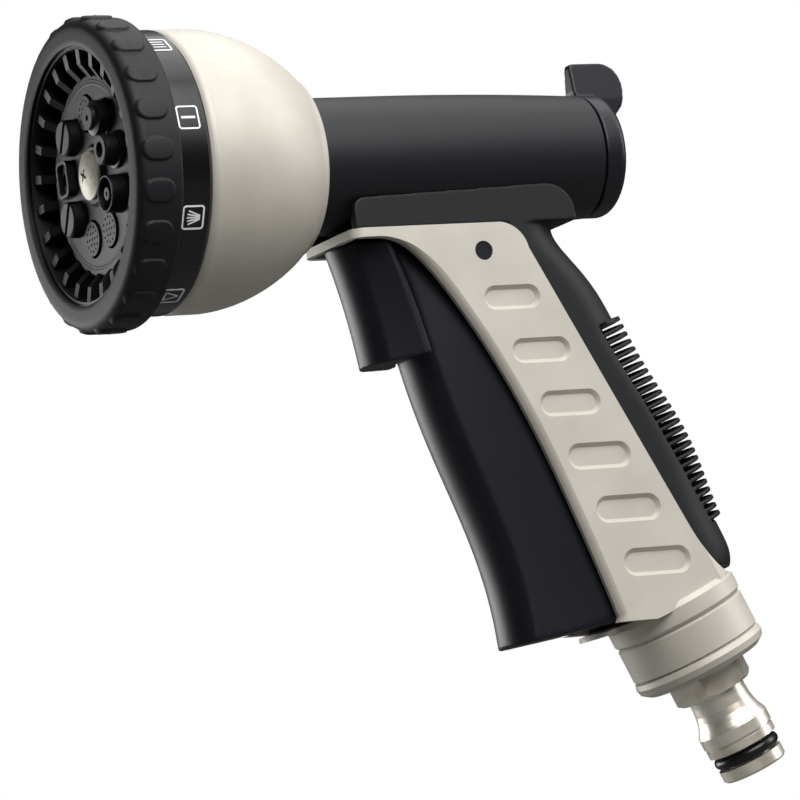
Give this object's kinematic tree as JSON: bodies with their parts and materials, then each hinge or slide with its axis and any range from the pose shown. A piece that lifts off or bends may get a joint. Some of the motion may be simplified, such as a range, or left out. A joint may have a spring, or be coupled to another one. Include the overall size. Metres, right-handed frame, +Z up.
{
  "type": "hose spray nozzle",
  "caption": "Pistol-grip garden hose spray nozzle with a turning multi-pattern spray head, front trigger, trigger lock, rear flow knob and quick-connect hose nipple.",
  "frame": {"origin": "on the axis of the quick-connect hose nipple, at the middle of the round land at its tip", "axes": "+Z up with the barrel level, +X along the barrel axis towards the rear flow knob so that the spray head faces -X, Y across the handle"},
  "size_m": [0.1612, 0.0718, 0.1855],
  "materials": {
    "champagne_paint": "satin pearl paint",
    "soft_touch_black": "matt soft-touch",
    "satin_black": "satin moulded",
    "moulded_black": "matt moulded",
    "gloss_black": "gloss",
    "inner_plastic": "moulded",
    "seal_rubber": "smooth",
    "nickel_plate": "satin nickel plate",
    "steel": "bright"
  },
  "bodies": {
    "handle": {"head_shell": "champagne_paint", "port_plate": "inner_plastic", "outlet_seal": "seal_rubber", "click_ball": "steel", "click_spring": "steel", "turret_screw": "steel", "screw_washer": "steel", "post_o_ring": "seal_rubber", "barrel_sleeve": "satin_black", "water_body": "inner_plastic", "port_screws": "steel", "barrel_plug": "inner_plastic", "spindle_o_ring": "seal_rubber", "frame_left": "champagne_paint", "frame_right": "champagne_paint", "pivot_pin": "steel", "pivot_caps": "satin_black", "pivot_washers": "steel", "grip_core": "inner_plastic", "soft_grip": "soft_touch_black", "stem_o_ring": "seal_rubber", "valve_plug": "inner_plastic", "valve_spring": "steel", "collar": "champagne_paint", "hose_nipple": "nickel_plate", "nipple_o_ring": "seal_rubber", "inlet_washer": "seal_rubber", "inlet_filter": "inner_plastic"},
    "turret": {"index_ring": "gloss_black", "soft_ring": "soft_touch_black", "spray_plate": "moulded_black", "turret_back_plate": "moulded_black", "jet_insert": "moulded_black", "ring_insert": "moulded_black", "cone_insert": "moulded_black", "fan_inserts": "moulded_black", "square_insert": "moulded_black"},
    "knob": {"flow_knob": "satin_black", "knob_screw": "steel", "flow_spindle": "inner_plastic"},
    "trigger": {"trigger_lever": "satin_black"},
    "lock": {"trigger_lock": "satin_black"},
    "stem": {"valve_stem": "inner_plastic", "stem_seal": "seal_rubber"}
  },
  "joints": [
    {"name": "turret_turn", "type": "hinge", "parent": "handle", "child": "turret", "pos_m": [-0.14427, 0, 0.14528], "axis": [1, 0, 0], "continuous": true},
    {"name": "flow_turn", "type": "hinge", "parent": "handle", "child": "knob", "pos_m": [-0.02327, 0, 0.14528], "axis": [1, 0, 0], "range_deg": [0, 90]},
    {"name": "trigger_pull", "type": "hinge", "parent": "handle", "child": "trigger", "pos_m": [-0.06077, 0, 0.12168], "axis": [0, -1, 0], "range_deg": [0, 8], "stiffness_Nm_per_rad": 1.5, "springref_deg": -11.46},
    {"name": "lock_slide", "type": "slide", "parent": "trigger", "child": "lock", "axis": [0.2099, 0, -0.9777], "range_m": [0, 0.005]},
    {"name": "stem_slide", "type": "slide", "parent": "handle", "child": "stem", "axis": [1, 0, 0], "range_m": [0, 0.0026], "deforming": ["valve_spring"]}
  ],
  "couplings": [
    {"joint": "stem_slide", "follows": "trigger_pull", "m_per_rad": 0.0184}
  ]
}
